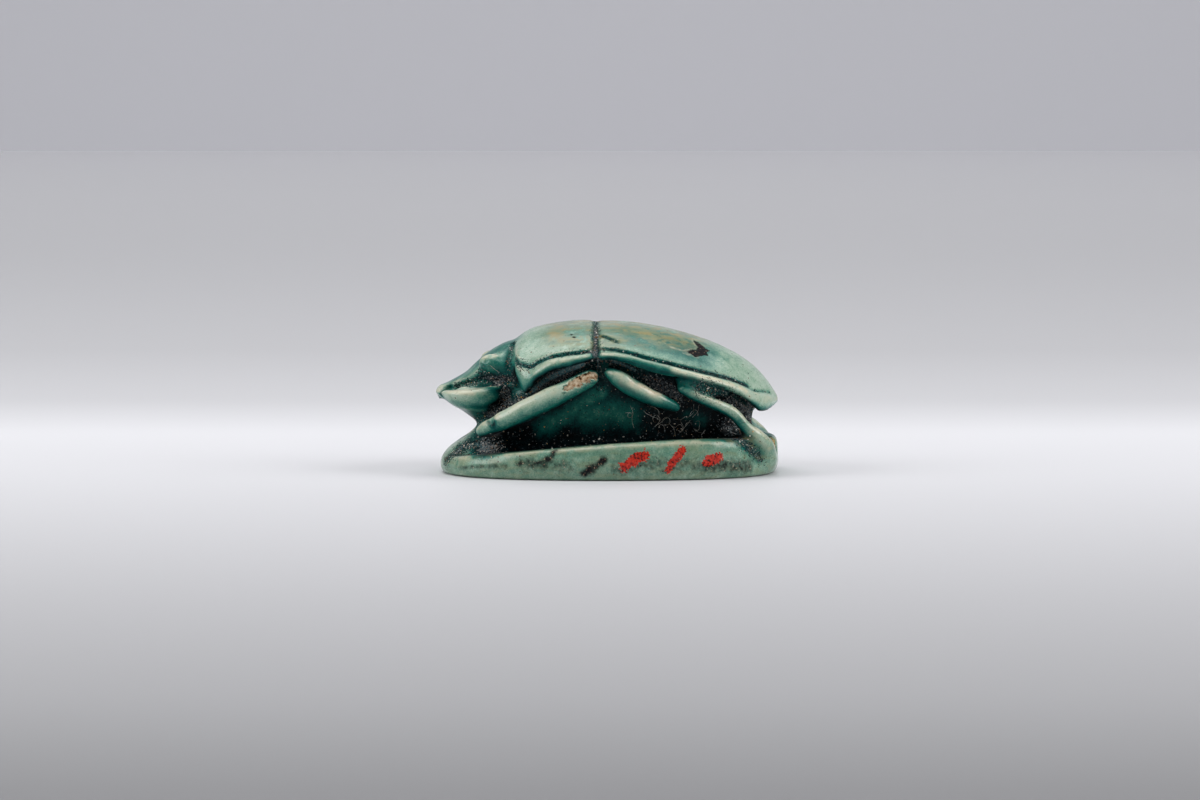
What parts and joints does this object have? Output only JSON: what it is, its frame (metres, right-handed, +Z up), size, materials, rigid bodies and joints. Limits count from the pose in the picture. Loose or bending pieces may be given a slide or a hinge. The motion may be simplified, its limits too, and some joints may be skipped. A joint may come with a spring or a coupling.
{
  "type": "scarab amulet",
  "caption": "beetle-shaped amulet carved from one glazed stone, with undercut legs, an oval flat base and a string hole from end to end",
  "frame": {"origin": "centre of the flat underside, on the resting plane", "axes": "+Z up, -X towards the head, +X towards the tail"},
  "size_m": [0.02, 0.014, 0.0088],
  "materials": {
    "glazed_steatite": "pale green to deep teal glaze on carved stone, worn to cream on the crests, near black in the hollows, glossy"
  },
  "bodies": {
    "root": {"scarab": "glazed_steatite"}
  },
  "joints": []
}
